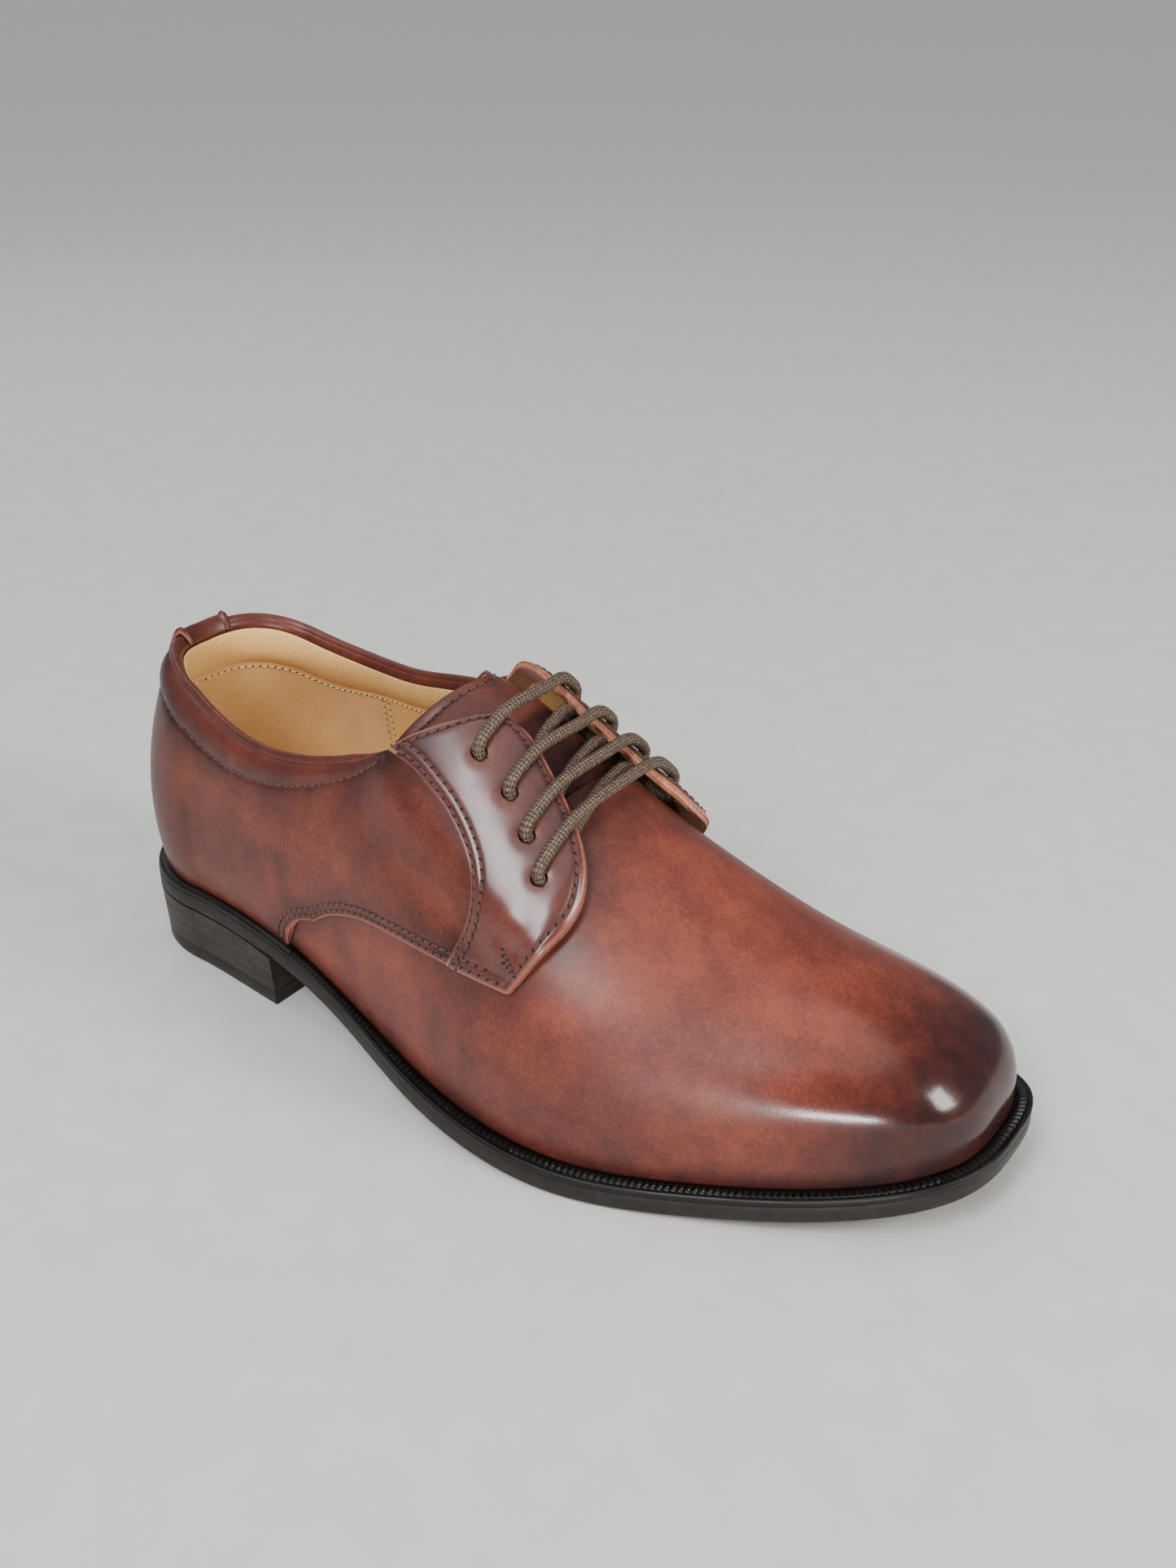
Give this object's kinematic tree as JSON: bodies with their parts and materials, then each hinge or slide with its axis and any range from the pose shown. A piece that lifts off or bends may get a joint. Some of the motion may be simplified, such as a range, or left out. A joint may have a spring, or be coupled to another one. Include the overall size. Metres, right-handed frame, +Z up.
{
  "type": "lace-up leather shoe",
  "caption": "Plain-toe open-laced leather dress shoe, right foot, with welt, block heel, padded collar, folding tongue and threaded lace.",
  "frame": {"origin": "on the ground, at the middle of the shoe's footprint", "axes": "+X from heel to toe, +Y to the inner (medial) side of the foot, +Z up"},
  "size_m": [0.2992, 0.1109, 0.117],
  "materials": {
    "upper_leather": "burnished red-brown smooth leather, satin",
    "facing_leather": "glossy burnished red-brown leather",
    "lining_leather": "tan microfibre and leather, matt",
    "sole_rubber": "black-brown moulded rubber, satin",
    "heel_rubber": "black-brown stacked look, satin",
    "fibre_board": "bonded fibre board, matt",
    "foam": "soft foam, matt",
    "cork": "ground cork, matt",
    "steel": "plain steel",
    "lace_cord": "waxed round braid, brown",
    "aglet_plastic": "clear brown plastic"
  },
  "bodies": {
    "shoe": {"top_lift": "heel_rubber", "heel_block": "heel_rubber", "outsole": "sole_rubber", "welt": "sole_rubber", "heel_rand": "sole_rubber", "heel_nail_1": "steel", "heel_nail_2": "steel", "heel_nail_3": "steel", "heel_nail_4": "steel", "heel_nail_5": "steel", "cork_filler": "cork", "shank": "steel", "insole_board": "fibre_board", "sock_lining": "lining_leather", "heel_pad": "foam", "vamp": "upper_leather", "vamp_lining": "lining_leather", "toe_puff": "fibre_board", "quarter_lateral": "upper_leather", "quarter_medial": "upper_leather", "eyestay_lateral": "facing_leather", "eyestay_medial": "facing_leather", "facing_lining_lateral": "lining_leather", "facing_lining_medial": "lining_leather", "quarter_lining_lateral": "lining_leather", "quarter_lining_medial": "lining_leather", "heel_counter": "fibre_board", "heel_lining": "lining_leather", "collar_foam": "foam", "topline_binding": "upper_leather", "heel_tab": "upper_leather", "lace": "lace_cord", "aglet_1": "aglet_plastic", "aglet_2": "aglet_plastic"},
    "tongue": {"tongue": "upper_leather", "tongue_lining": "lining_leather"}
  },
  "joints": [
    {"name": "tongue_fold", "type": "hinge", "parent": "shoe", "child": "tongue", "pos_m": [0.0361, 0.0085, 0.0815], "axis": [0, 1, 0], "range_deg": [-10, 0], "stiffness_Nm_per_rad": 0.05, "springref_deg": 5.73}
  ]
}
